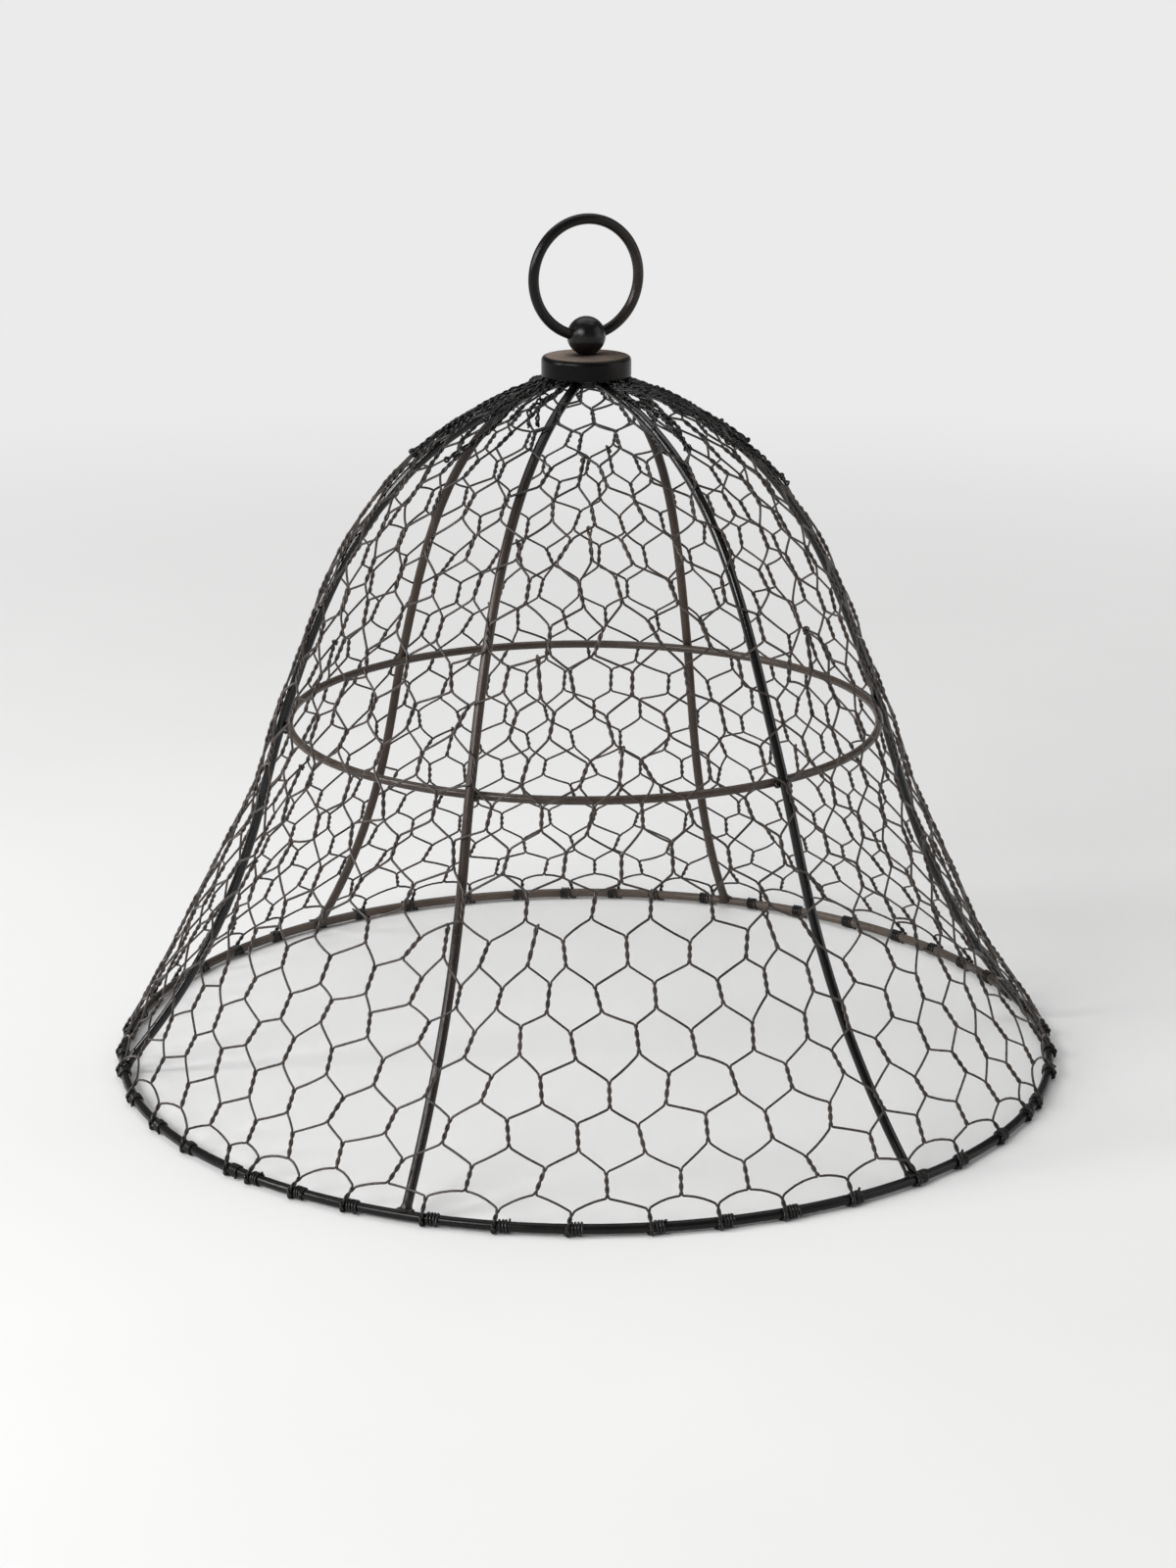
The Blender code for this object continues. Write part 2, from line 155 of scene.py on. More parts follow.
# Where hands tied the netting to the base ring, in degrees from the front
TIE_AZIMUTHS = (-85, -79, -70, -61, -53, -44.5, -41, -34.5, -27.5, -18, -10, -2, 7, 14.5, 22, 30.5,
                40, 47, 56, 64, 68, 78, 85, 92, 99, 106, 112, 118, 124.5, 131.5, 140, 148, 155, 162,
                169.5, 175.5, 182, 189, 196.5, 205, 212.5, 219.5, 227, 234.5, 242, 248.5, 255, 261,
                267.5)
TIE_LOW_ANGLE = radians(-38)
TIE_TURN_POINTS = 11

# Rows where columns of the netting end in a hook, and the azimuths of those hooks
HOOKS = {
    6: (-69, -27, -8, 34, 76, 101, 137, 165, 204, 238),
    10: (1, 88, 128, 196, 250),
    12: (-16, 53, 190),
    15: (4, 172),
    17: (-12, 150),
}
HOOK_HALF = 0.00058

# Where the netting is gathered into twisted strands below the cap: azimuth in degrees,
# number of strands, how far down they reach, as a length up from the base ring, and their lift
GATHERS = ((-87, 4, 0.29, -0.0009), (95, 4, 0.272, -0.0014), (-27, 2, 0.322, 0.0),
           (44, 3, 0.306, 0.0), (150, 3, 0.306, 0.0), (-142, 3, 0.306, 0.0),
           (74, 2, 0.3, 0.0), (-58, 2, 0.296, 0.0))

# A strand's length for one turn, how far it drifts sideways, the slow waves in its turns,
# and the radius inside which it lies flat to pass under the cap
STRAND_PITCH = (0.0062, 0.0078)
STRAND_DRIFT = 0.0042
STRAND_WAVES = (2.0, 4.5)
STRAND_SPACING = 0.0021
CAP_CLEAR = 0.0195
CAP_FADE = 0.012
CURL_ANGLES = (5.2, 4.4, 3.6, 2.8, 2.0, 1.2, 0.5)

# How flat the netting lies between two ribs, and the length up the bell at which it ends
FLAT_SAG = 0.0011
SAG_END = 0.36

# How the netting leans to the left at the skirt, and is drawn in on the right, and between two
# ribs on the right of the dome and above the hoop: a length up the bell, its spread, and how far
SKIRT_LEAN = (0.065, 0.05, 0.002)
RIGHT_DRAW = (0.046, 0.026, 0.0036)
DOME_DRAW = (0.245, 0.062, 0.0016)
HOOP_DRAW = (0.196, 0.02, 0.0024)

# Lamps: place, width and height, and power, all turned to the bell's middle
LIT_MIDDLE = (0.0, 0.0, 0.18)
LAMPS = {
    "key_left": ((-1.6, -1.8, 1.52), (1.5, 0.95), 50.0),
    "side_left": ((-2.00, -0.42, 1.18), (0.5, 1.2), 26.0),
    "fill_right": ((1.75, -0.25, 0.8), (1.3, 1.6), 8.0),
    "top_back": ((0.0, 0.75, 2.3), (2.6, 2.0), 24.0),
}
SKY_GREYS = ((0.0, 0.83), (0.07, 0.34), (0.28, 0.16))
FLOOR_REACH = 14.0
FLOOR_Z = -0.0002


# Places and directions


def box_middle(node):
    low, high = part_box(node)
    return (low + high) / 2


def half_width(node):
    low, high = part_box(node)
    return (high.x - low.x) / 2


RING_Z = box_middle("base_ring").z


def outwards(azimuth):
    return Vector((sin(azimuth), -cos(azimuth), 0.0))


def sideways(azimuth):
    return Vector((cos(azimuth), sin(azimuth), 0.0))


def rib_azimuth(n):
    return FIRST_RIB_AZIMUTH + tau * n / RIB_COUNT


def wrap_near(azimuth, other):
    """The azimuth plus whole turns that brings it nearest the other."""
    return azimuth + tau * round((other - azimuth) / tau)


def swell(place, measures):
    """A smooth hump."""
    middle, spread, height = measures
    return height * exp(-((place - middle) / spread) ** 2)


# The bell's outline, as radius and height


def cubic(points, t):
    a, b, c, d = points
    s = 1.0 - t
    return a * s ** 3 + b * 3 * s * s * t + c * 3 * s * t * t + d * t ** 3


def climb(angle, length):
    return Vector((-cos(angle), sin(angle))) * length


def rib_top():
    """The upper end of a rib's centreline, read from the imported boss."""
    radius = half_width("rib_boss") + GAP + RIB_ROD / 2 * sin(RIB_TOP_ANGLE)
    return Vector((radius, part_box("rib_boss")[0].z + RIB_END_RISE - RING_Z))


def bell_outline():
    foot = Vector((BASE_RADIUS, 0.0))
    waist = Vector((WAIST_RADIUS, HOOP_HEIGHT))
    top = rib_top()
    skirt = (foot, foot + climb(RIB_BASE_ANGLE, SKIRT_BASE_PULL),
             waist - climb(RIB_WAIST_ANGLE, SKIRT_WAIST_PULL), waist)
    dome = (waist, waist + climb(RIB_WAIST_ANGLE, DOME_WAIST_PULL),
            top - climb(RIB_TOP_ANGLE, DOME_TOP_PULL), top)
    steps = [i / OUTLINE_STEPS for i in range(OUTLINE_STEPS + 1)]
    points = [cubic(skirt, t) for t in steps] + [cubic(dome, t) for t in steps[1:]]
    return np.array([tuple(p) for p in points])


def stretched(outline):
    """The netting's outline, which is straighter across the hollow of the flare."""
    touch = int(np.argmin(abs(outline[:, 1] - NET_TOUCH)))
    radii, heights = outline[:touch + 1].T
    rise = heights - heights[0]
    chord = radii[0] - rise * (radii[0] - radii[-1]) / rise[-1]
    net = outline.copy()
    net[:touch + 1, 0] += (chord - radii) * NET_PULL
    for _ in range(30):
        net[1:-1] = net[1:-1] * 0.5 + (net[:-2] + net[2:]) * 0.25
    return net


class Bell:
    """A slightly leaning bell, addressed by azimuth and length up from the base ring."""

    def __init__(self, outline, offset):
        along = np.gradient(outline, axis=0)
        along /= np.linalg.norm(along, axis=1)[:, None]
        self.normals = np.c_[along[:, 1], -along[:, 0]]
        self.points = outline + self.normals * offset
        steps = np.linalg.norm(np.diff(self.points, axis=0), axis=1)
        self.lengths = np.r_[0.0, np.cumsum(steps)]

    def read(self, table, length):
        """Radius and height from the points or the normals."""
        return (np.interp(length, self.lengths, table[:, i]) for i in (0, 1))

    def radius(self, length):
        return float(np.interp(length, self.lengths, self.points[:, 0]))

    def length_at_radius(self, radius):
        return float(np.interp(-radius, -self.points[:, 0], self.lengths))

    def length_at_height(self, height):
        return float(np.interp(height, self.points[:, 1], self.lengths))

    def place(self, azimuth, length, out=0.0):
        r, z = self.read(self.points, length)
        nr, nz = self.read(self.normals, length)
        r = r + nr * out
        z = z + nz * out
        return Vector((r * sin(azimuth) - swell(z, LEAN), -r * cos(azimuth), z + RING_Z))

    def normal(self, azimuth, length):
        nr, nz = self.read(self.normals, length)
        return Vector((nr * sin(azimuth), -nr * cos(azimuth), nz)).normalized()


OUTLINE = bell_outline()
RIB_LINE = Bell(OUTLINE, 0.0)


# Materials


class Shader:
    """A node material under construction."""

    def __init__(self, name):
        self.material = bpy.data.materials.new(name)
        self.material.use_nodes = True
        self.tree = self.material.node_tree
        self.main = self.tree.nodes["Principled BSDF"]

    def node(self, kind, **values):
        made = self.tree.nodes.new("ShaderNode" + kind)
        for key, value in values.items():
            if hasattr(made, key):
                setattr(made, key, value)
            else:
                made.inputs[key].default_value = value
        return made

    def link(self, source, target):
        self.tree.links.new(source, target)

    def noise(self, scale, detail, roughness=0.55):
        place = self.node("TexCoord")
        made = self.node("TexNoise", Scale=scale, Detail=detail, Roughness=roughness)
        self.link(place.outputs["Object"], made.inputs["Vector"])
        return made.outputs["Fac"]

    def ramp(self, source, stops):
        made = self.node("ValToRGB")
        elements = made.color_ramp.elements
        while len(elements) < len(stops):
            elements.new(0.5)
        for element, (position, colour) in zip(elements, stops):
            element.position = position
            element.color = (*colour, 1.0)
        self.link(source, made.inputs["Fac"])
        return made.outputs["Color"]

    def span(self, source, low, high, start=0.3, end=0.7):
        """A value from low to high, as the source goes from start to end."""
        ends = {"From Min": start, "From Max": end, "To Min": low, "To Max": high}
        made = self.node("MapRange", **ends)
        self.link(source, made.inputs["Value"])
        return made.outputs["Result"]

    def mix(self, factor, a, b):
        made = self.node("Mix")
        made.data_type = "RGBA"
        self.link(factor, made.inputs[0])
        for socket, value in ((made.inputs[6], a), (made.inputs[7], b)):
            if hasattr(value, "is_linked"):
                self.link(value, socket)
            else:
                socket.default_value = (*value, 1.0)
        return made.outputs[2]

    def combine(self, operation, a, b):
        """Two values added or multiplied, and held between 0 and 1."""
        made = self.node("Math", operation=operation, use_clamp=True)
        self.link(a, made.inputs[0])
        self.link(b, made.inputs[1])
        return made.outputs[0]

    def axis(self, output, axis):
        """One axis of the surface's Position or Normal."""
        shape = self.node("NewGeometry")
        split = self.node("SeparateXYZ")
        self.link(shape.outputs[output], split.inputs["Vector"])
        return split.outputs[axis]

    def fade(self, axis, start, end, a, b):
        """Colour a up to the start of a stretch of the object, and colour b from its end."""
        return self.mix(self.span(self.axis("Position", axis), 0.0, 1.0, start, end), a, b)

    def coat(self, colour, rough, bump, gloss):
        """The finished material. Roughness and bump each give the scale and detail of a noise,
        then two levels of roughness, or the strength and depth of the bumps."""
        self.link(colour, self.main.inputs["Base Color"])
        self.link(self.span(self.noise(*rough[:2]), *rough[2:]), self.main.inputs["Roughness"])
        grain = self.noise(*bump[:2])
        made = self.node("Bump", Strength=bump[2], Distance=bump[3])
        self.link(grain, made.inputs["Height"])
        self.link(made.outputs["Normal"], self.main.inputs["Normal"])
        self.main.inputs["Specular IOR Level"].default_value = gloss
        return self.material


def painted_rod(name, foot, middle, rough, gloss, dust_and_sheen=1.0):
    """Brown-black paint on drawn rod: one brown at the foot, another above it, dust and a painted
    sheen on what looks up, and near black under the cap."""
    shader = Shader(name)
    patches = shader.noise(38.0, 5.0, 0.6)
    low, high = (shader.ramp(patches, ((0.3, brown), (0.75, tuple(1.7 * part for part in brown))))
                 for brown in (foot, middle))
    body = shader.fade("Z", 0.02, 0.16, low, high)
    # Dust and painted sheen: surfaces that look up turn lighter brown, for the overhead lamp's sheen as
    # well as dust
    facing_up = shader.span(shader.axis("Normal", "Z"), 0.0, 1.0, 0.35, 1.0)
    dust_and_sheen_speckle = shader.span(shader.noise(900.0, 2.0), 0.05 * dust_and_sheen, 0.4 * dust_and_sheen)
    body = shader.mix(shader.combine("MULTIPLY", facing_up, dust_and_sheen_speckle), body, (0.105, 0.086, 0.074))
    body = shader.fade("Z", 0.215, 0.272, body, (0.0056, 0.0048, 0.0044))
    return shader.coat(body, (260.0, 4.0, *rough), (1300.0, 3.0, 0.2, 0.00022), gloss)


def netting_wire():
    """Brown painted wire with a thin worn sheen, near black at the ties and under the cap."""
    shader = Shader("netting_wire")
    patches = shader.noise(85.0, 5.0, 0.62)
    black = (0.0066, 0.0056, 0.0051)
    body = shader.ramp(patches, ((0.28, (0.017, 0.0128, 0.0108)), (0.52, (0.038, 0.029, 0.0245)),
                                 (0.8, (0.085, 0.066, 0.056))))
    body = shader.fade("Z", 0.005, 0.014, black, body)
    body = shader.fade("Z", 0.245, 0.276, body, black)
    return shader.coat(body, (420.0, 3.0, 0.2, 0.4), (2200.0, 2.0, 0.25, 0.00012), 0.42)


def patchy_paint(name, patches, tones, rough, bump, gloss, meet=None):
    """Patchy paint in one tone, or in two that meet along a stretch of the object."""
    shader = Shader(name)
    spots = shader.noise(*patches)
    ramps = [shader.ramp(spots, tone) for tone in tones]
    body = shader.fade(*meet, *ramps) if meet else ramps[0]
    return shader.coat(body, rough, bump, gloss)


# Scale, detail and roughness of the patches, stops of the tones, and the rest in the same order
PAINTS = {
    # Black on the front of the base ring, and a lighter brown towards its back
    "ring_paint": (
        (60.0, 5.0, 0.6),
        (((0.3, (0.005, 0.0046, 0.0045)), (0.62, (0.0085, 0.0075, 0.007)), (0.82, (0.02, 0.016, 0.014))),
         ((0.3, (0.074, 0.0575, 0.0475)), (0.8, (0.125, 0.098, 0.082)))),
        (260.0, 4.0, 0.18, 0.29), (1300.0, 3.0, 0.2, 0.00022), 0.2, ("Y", 0.0, 0.16)),
    # The wire gathered below the cap: thick with black paint, and glossy
    "gathered_wire": (
        (110.0, 4.0, 0.6),
        (((0.3, (0.003, 0.0026, 0.0024)), (0.62, (0.0055, 0.0045, 0.004)), (0.84, (0.03, 0.023, 0.0195))),),
        (420.0, 3.0, 0.1, 0.24), (1700.0, 2.0, 0.3, 0.00014), 0.34),
    # Black gloss on the cap's side and rounded rim, lighter and browner to the right: painted light from
    # that side
    "cap_side_paint": (
        (120.0, 5.0, 0.6),
        (((0.3, (0.0022, 0.002, 0.0019)), (0.72, (0.0042, 0.0037, 0.0035))),
         ((0.3, (0.0085, 0.0068, 0.006)), (0.72, (0.02, 0.016, 0.014)))),
        (330.0, 4.0, 0.22, 0.34), (1500.0, 3.0, 0.22, 0.0002), 0.1, ("X", 0.004, 0.019)),
    # The cap's flat top, dulled brown by dust and wear, darker to the right
    "cap_top_paint": (
        (120.0, 5.0, 0.6),
        (((0.3, (0.165, 0.13, 0.109)), (0.7, (0.235, 0.188, 0.159))),
         ((0.3, (0.082, 0.063, 0.053)), (0.7, (0.138, 0.108, 0.09)))),
        (330.0, 4.0, 0.62, 0.8), (1500.0, 3.0, 0.22, 0.0002), 0.05, ("X", -0.01, 0.012)),
    # Screw and washer, sprayed with the frame: black, with plating worn through in specks
    "painted_fixings": (
        (620.0, 4.0, 0.7),
        (((0.3, (0.006, 0.0054, 0.005)), (0.66, (0.0125, 0.0108, 0.0098)), (0.76, (0.16, 0.155, 0.15))),),
        (700.0, 3.0, 0.28, 0.48), (1900.0, 2.0, 0.2, 0.0001), 0.2),
    # Black enamel on the ring handle, glossy, and browner on its right side: a painted sheen of light from
    # that side
    "handle_paint": (
        (70.0, 5.0, 0.6),
        (((0.32, (0.0046, 0.004, 0.0038)), (0.6, (0.0085, 0.0072, 0.0066)), (0.8, (0.032, 0.024, 0.02))),
         ((0.32, (0.014, 0.0108, 0.009)), (0.72, (0.046, 0.036, 0.03)))),
        (300.0, 4.0, 0.13, 0.27), (1100.0, 3.0, 0.26, 0.00024), 0.17, ("X", 0.01, 0.024)),
    # Black enamel on the ball, with a soft gloss and a few knocks
    "ball_paint": (
        (150.0, 4.0, 0.6),
        (((0.3, (0.0024, 0.0021, 0.002)), (0.74, (0.0056, 0.0048, 0.0044))),),
        (300.0, 4.0, 0.24, 0.33), (420.0, 3.0, 0.3, 0.0003), 0.27),
}


# Mesh building


def new_object(name, data):
    item = bpy.data.objects.new(name, data)
    bpy.context.scene.collection.objects.link(item)
    return item


def mesh_object(name, verts, faces, material):
    mesh = bpy.data.meshes.new(name)
    mesh.from_pydata([tuple(v) for v in verts], [], faces)
    mesh.materials.append(material)
    mesh.shade_smooth()
    mesh.update()
    return new_object(name, mesh)


def directions(path, closed):
    """Unit directions along a path, at each of its points."""
    if closed:
        along = np.roll(path, -1, axis=0) - np.roll(path, 1, axis=0)
    else:
        along = np.gradient(path, axis=0)
    return along / np.linalg.norm(along, axis=1)[:, None]


def first_across(ahead):
    """A unit direction across the start of a path."""
    across = np.cross(ahead, (0.0, 0.0, 1.0))
    if np.linalg.norm(across) < 0.2:
        across = np.cross(ahead, (1.0, 0.0, 0.0))
    return across / np.linalg.norm(across)


def sweep(path, radii, sides, closed=False):
    """Vertices and faces of a tube along a path, with domed ends unless it is closed. Its
    radius is one number, or one for each point."""
    path = np.array([tuple(p) for p in path], float)
    count = len(path)
    radii = np.broadcast_to(radii, count)
    along = directions(path, closed)
    across = first_across(along[0])
    turns = np.arange(sides) * tau / sides
    circle = np.c_[np.cos(turns), np.sin(turns)]
    verts, faces = [], []
    for here, ahead, radius in zip(path, along, radii):
        across = across - ahead * np.dot(across, ahead)
        across /= np.linalg.norm(across)
        verts.extend(here + radius * (circle @ np.array((across, np.cross(ahead, across)))))
    for i in range(count if closed else count - 1):
        a, b = i * sides, (i + 1) % count * sides
        for j in range(sides):
            k = (j + 1) % sides
            faces.append((a + j, a + k, b + k, b + j))
    for ring, sign in () if closed else ((0, -1.0), (count - 1, 1.0)):
        tip = len(verts)
        verts.append(path[ring] + along[ring] * sign * radii[ring] * 0.5)
        for j in range(sides):
            a, b = ring * sides + j, ring * sides + (j + 1) % sides
            faces.append((b, a, tip) if sign < 0 else (a, b, tip))
    return verts, faces


def join_parts(parts):
    verts, faces = [], []
    for some_verts, some_faces in parts:
        start = len(verts)
        verts.extend(some_verts)
        faces.extend(tuple(i + start for i in face) for face in some_faces)
    return verts, faces


def lathe(profile, steps):
    """Vertices and faces of a closed profile of radius and height, turned about Z."""
    verts, faces = [], []
    count = len(profile)
    turn = sum(profile[i - 1][0] * z - r * profile[i - 1][1] for i, (r, z) in enumerate(profile))
    if turn > 0:
        profile = profile[::-1]
    for i in range(steps):
        a = tau * i / steps
        verts.extend(Vector((r * cos(a), r * sin(a), z)) for r, z in profile)
    for i in range(steps):
        here, there = i * count, (i + 1) % steps * count
        for j in range(count):
            k = (j + 1) % count
            faces.append((here + j, here + k, there + k, there + j))
    return verts, faces


def rounded(corners, radius, steps=4):
    """A closed profile whose corners are rounded, each by its own share of the radius."""
    points = []
    count = len(corners)
    for i, (x, z, share) in enumerate(corners):
        here = Vector((x, z))
        if share == 0:
            points.append((x, z))
            continue
        before = (Vector(corners[i - 1][:2]) - here).normalized() * radius * share
        after = (Vector(corners[(i + 1) % count][:2]) - here).normalized() * radius * share
        for n in range(steps + 1):
            t = n / steps
            spot = here + before * (1 - t) ** 2 + after * t ** 2
            points.append((spot.x, spot.y))
    return points


def blob(centre, size, seed):
    """A lumpy bead."""
    made = bmesh.new()
    bmesh.ops.create_icosphere(made, subdivisions=2, radius=1.0)
    verts = []
    for vert in made.verts:
        lump = 1.0 + 0.16 * noise.noise(vert.co * 2.2 + Vector((seed, seed * 0.7, 0.0)))
        verts.append(centre + size @ (vert.co * lump))
    faces = [tuple(v.index for v in face.verts) for face in made.faces]
    made.free()
    return verts, faces


def add_piece(name, shape, material, node):
    """A piece of the part that stands for a CAD node."""
    item = mesh_object(name, *shape, material)
    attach(item, "root")
    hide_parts(node)
    return item


# Frame


def circle_path(radius, height, steps, wobble, seed):
    """A slightly uneven circle, as a hand-bent rod makes."""
    points = []
    for i in range(steps):
        a = tau * i / steps
        away = radius + wobble * noise.noise(Vector((cos(a), sin(a), seed)) * 1.7)
        points.append(Vector((away * sin(a), -away * cos(a), height)))
    return points


def make_base_ring(material):
    path = circle_path(BASE_RADIUS, RING_Z, 288, 0.0002, 3.1)
    shape = sweep(path, BASE_ROD / 2, 16, True)
    add_piece("base_ring_rod", shape, material, "base_ring")


def make_hoop(material):
    height = box_middle("middle_hoop").z
    radius = half_width("middle_hoop") - HOOP_ROD / 2
    lean = Vector((swell(HOOP_HEIGHT, LEAN), 0.0, 0.0))
    path = [spot - lean for spot in circle_path(radius, height, 216, 0.0003, 8.4)]
    shape = sweep(path, HOOP_ROD / 2, 14, True)
    add_piece("middle_hoop_rod", shape, material, "middle_hoop")


def rib_path(azimuth, sway):
    """The rib's centreline, bent sideways by the sway, a polynomial of the height."""
    start = BASE_ROD / 2 - RIB_FOOT_SINK
    total = RIB_LINE.lengths[-1]
    path = []
    for i in range(RIB_STEPS):
        spot = RIB_LINE.place(azimuth, start + (total - start) * i / (RIB_STEPS - 1))
        path.append(spot + sideways(azimuth) * float(np.polyval(sway, spot.z - RING_Z)))
    return path


def weld_bead(place, azimuth, bead, sign, seed):
    """A weld bead beside a rib: on its left for a sign of -1, and on its right for 1."""
    beside, inside, below, *sizes = bead
    side = sideways(azimuth)
    out = outwards(azimuth)
    size = Matrix((side, -out, UP)).transposed() @ Matrix.Diagonal(sizes)
    return blob(place + side * sign * beside - out * inside - UP * below, size, seed + sign)


def make_rib(n, material):
    """A rib that flares at its foot into a weld, and is beaded to the hoop it crosses."""
    azimuth = rib_azimuth(n)
    side = sideways(azimuth)
    sway = np.polyfit(SWAY_HEIGHTS, RIB_SWAYS[n], 4)
    path = rib_path(azimuth, sway)
    radii = [RIB_ROD / 2 + swell((spot - path[0]).length, FOOT_FLARE) for spot in path]
    parts = [sweep(path, radii, 14)]
    seat = RIB_LINE.place(azimuth, RIB_LINE.length_at_height(HOOP_HEIGHT), -RIB_ROD / 2)
    seat = seat + side * float(np.polyval(sway, HOOP_HEIGHT))
    foot = RIB_LINE.place(azimuth, 0.0) + UP * BASE_ROD / 2 + side * float(np.polyval(sway, 0.0))
    for place, bead, seed in ((seat, HOOP_BEAD, n * 3.0), (foot, FOOT_BEAD, n * 5.0 + 40)):
        parts.extend(weld_bead(place, azimuth, bead, sign, seed) for sign in (-1.0, 1.0))
    add_piece(f"rib_rod_{n + 1}", join_parts(parts), material, f"rib_{n + 1}")


def make_cap(side_material, top_material):
    low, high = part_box("top_cap")
    outer = half_width("top_cap")
    inner = outer - CAP_WALL
    profile = rounded((
        (SCREW_HOLE, high.z, 0), (outer * 0.6, high.z - 0.00008, 0), (outer, high.z - 0.00035, 1.0),
        (outer, low.z, 0.3), (inner, low.z, 0.3), (inner, high.z - CAP_WALL, 0.5),
        (SCREW_HOLE, high.z - CAP_WALL, 0)), 0.0021, 7)
    item = add_piece("top_cap_pressed", lathe(profile, 120), side_material, "top_cap")
    item.data.materials.append(top_material)
    for face in item.data.polygons:
        if face.normal.z > 0.97 and face.center.z > high.z - CAP_WALL / 2:
            face.material_index = 1


def make_ball(material):
    """A ball with a flat foot."""
    radius = half_width("finial_ball")
    centre_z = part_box("finial_ball")[1].z - radius
    steps = 28
    profile = []
    end = -acos(BALL_FOOT / radius)
    for i in range(steps + 1):
        a = pi / 2 + (end - pi / 2) * i / steps
        profile.append((max(radius * cos(a), 0.00002), centre_z + radius * sin(a)))
    profile.append((0.00002, profile[-1][1]))
    add_piece("finial_ball_turned", lathe(profile, 96), material, "finial_ball")


def make_handle(material):
    low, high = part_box("ring_handle")
    centre = box_middle("ring_handle")
    ring = (high.z - low.z) / 2 - HANDLE_ROD / 2
    turn = atan2(high.y - low.y - HANDLE_ROD, high.x - low.x - HANDLE_ROD)
    steps = 160
    path = []
    for i in range(steps):
        a = tau * i / steps
        flat = ring * cos(a)
        path.append(Vector((flat * cos(turn), flat * sin(turn), centre.z + ring * sin(a))))
    shape = sweep(path, HANDLE_ROD / 2, 20, True)
    add_piece("ring_handle_rod", shape, material, "ring_handle")


def make_boss(material):
    """A boss recessed from below, with a bead at each rib's end."""
    low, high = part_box("rib_boss")
    outer = half_width("rib_boss")
    recess = half_width("screw_washer") + GAP
    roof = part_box("screw_washer")[1].z + GAP
    profile = rounded(((SCREW_HOLE, high.z, 0), (outer, high.z, 1.0), (outer, low.z, 1.0),
                       (recess, low.z, 0.6), (recess, roof, 0), (SCREW_HOLE, roof, 0)), 0.0006)
    parts = [lathe(profile, 64)]
    for n in range(RIB_COUNT):
        azimuth = rib_azimuth(n)
        rib_end = RIB_LINE.place(azimuth, RIB_LINE.lengths[-1])
        parts.append(weld_bead(rib_end, azimuth, BOSS_BEAD, 0.0, n + 70.0))
    add_piece("rib_boss_welded", join_parts(parts), material, "rib_boss")


def make_washer(material):
    low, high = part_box("screw_washer")
    outer = half_width("screw_washer")
    profile = rounded(((SCREW_HOLE, high.z, 0.6), (outer, high.z, 1.0), (outer, low.z, 1.0),
                       (SCREW_HOLE, low.z, 0.6)), 0.00025)
    add_piece("screw_washer_painted", lathe(profile, 64), material, "screw_washer")


def screw_profile():
    """Pan head and threaded shank."""
    low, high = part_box("top_screw")
    head = half_width("top_screw")
    seat = low.z + HEAD_HEIGHT
    profile = [(0.00003, low.z), (head * 0.72, low.z + 0.00005), (head * 0.93, low.z + 0.0006),
               (head, low.z + 0.0013), (head, seat), (SHANK, seat)]
    turns = int((high.z - seat) / THREAD_PITCH) - 1
    for i in range(turns):
        z = seat + 0.0004 + THREAD_PITCH * i
        profile += [(SHANK, z), (SHANK - THREAD_DEPTH, z + THREAD_PITCH / 2)]
    return profile + [(SHANK - 0.0004, high.z), (0.00003, high.z)]


def cut_socket(item, height):
    """Cuts a hexagonal socket into the piece, round a height on its axis."""
    mesh = bpy.data.meshes.new("socket")
    cut = bmesh.new()
    bmesh.ops.create_cone(cut, cap_ends=True, segments=6, radius1=SOCKET_RADIUS, radius2=SOCKET_RADIUS,
                          depth=0.003, matrix=Matrix.Translation((0.0, 0.0, height)))
    cut.to_mesh(mesh)
    cut.free()
    cutter = new_object("socket", mesh)
    step = item.modifiers.new("socket", "BOOLEAN")
    step.operation = "DIFFERENCE"
    step.object = cutter
    bpy.context.view_layer.update()
    solved = item.evaluated_get(bpy.context.evaluated_depsgraph_get())
    result = bpy.data.meshes.new_from_object(solved)
    item.modifiers.clear()
    item.data = result
    result.set_sharp_from_angle(angle=radians(30))
    bpy.data.objects.remove(cutter, do_unlink=True)


def make_screw(material):
    shape = lathe(screw_profile(), 48)
    item = add_piece("top_screw_pan_head", shape, material, "top_screw")
    cut_socket(item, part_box("top_screw")[0].z)


# Netting


class Twist:
    """Two wires twisted together: a foot and a top, each an azimuth and a length up the bell."""

    def __init__(self, row, azimuth):
        self.row = row
        self.azimuth = azimuth
        self.turns = TWIST_TURNS if row else STEM_TURNS
        self.capped = False
        self.left = self.right = self.up_left = self.up_right = None
        self.foot = self.top = self.hook_leg = self.hook_ends = None


def lay_out_net():
    """Rows of twists from the base ring to the cap, each between two of the row below."""
    rows = [[Twist(0, radians(a)) for a in TIE_AZIMUTHS]]
    for row in range(1, ROW_COUNT + 1):
        below = [twist for twist in rows[-1] if not twist.capped]
        made = []
        for i, left in enumerate(below):
            right = below[(i + 1) % len(below)]
            azimuth = (left.azimuth + wrap_near(right.azimuth, left.azimuth + 0.05)) / 2
            twist = Twist(row, azimuth)
            twist.left, twist.right = left, right
            left.up_right, right.up_left = twist, twist
            made.append(twist)
        for place in HOOKS.get(row, ()):
            goal = radians(place)
            near = min((t for t in made if not t.capped),
                       key=lambda t: abs(wrap_near(t.azimuth, goal) - goal))
            near.capped = True
        rows.append(made)
    return rows


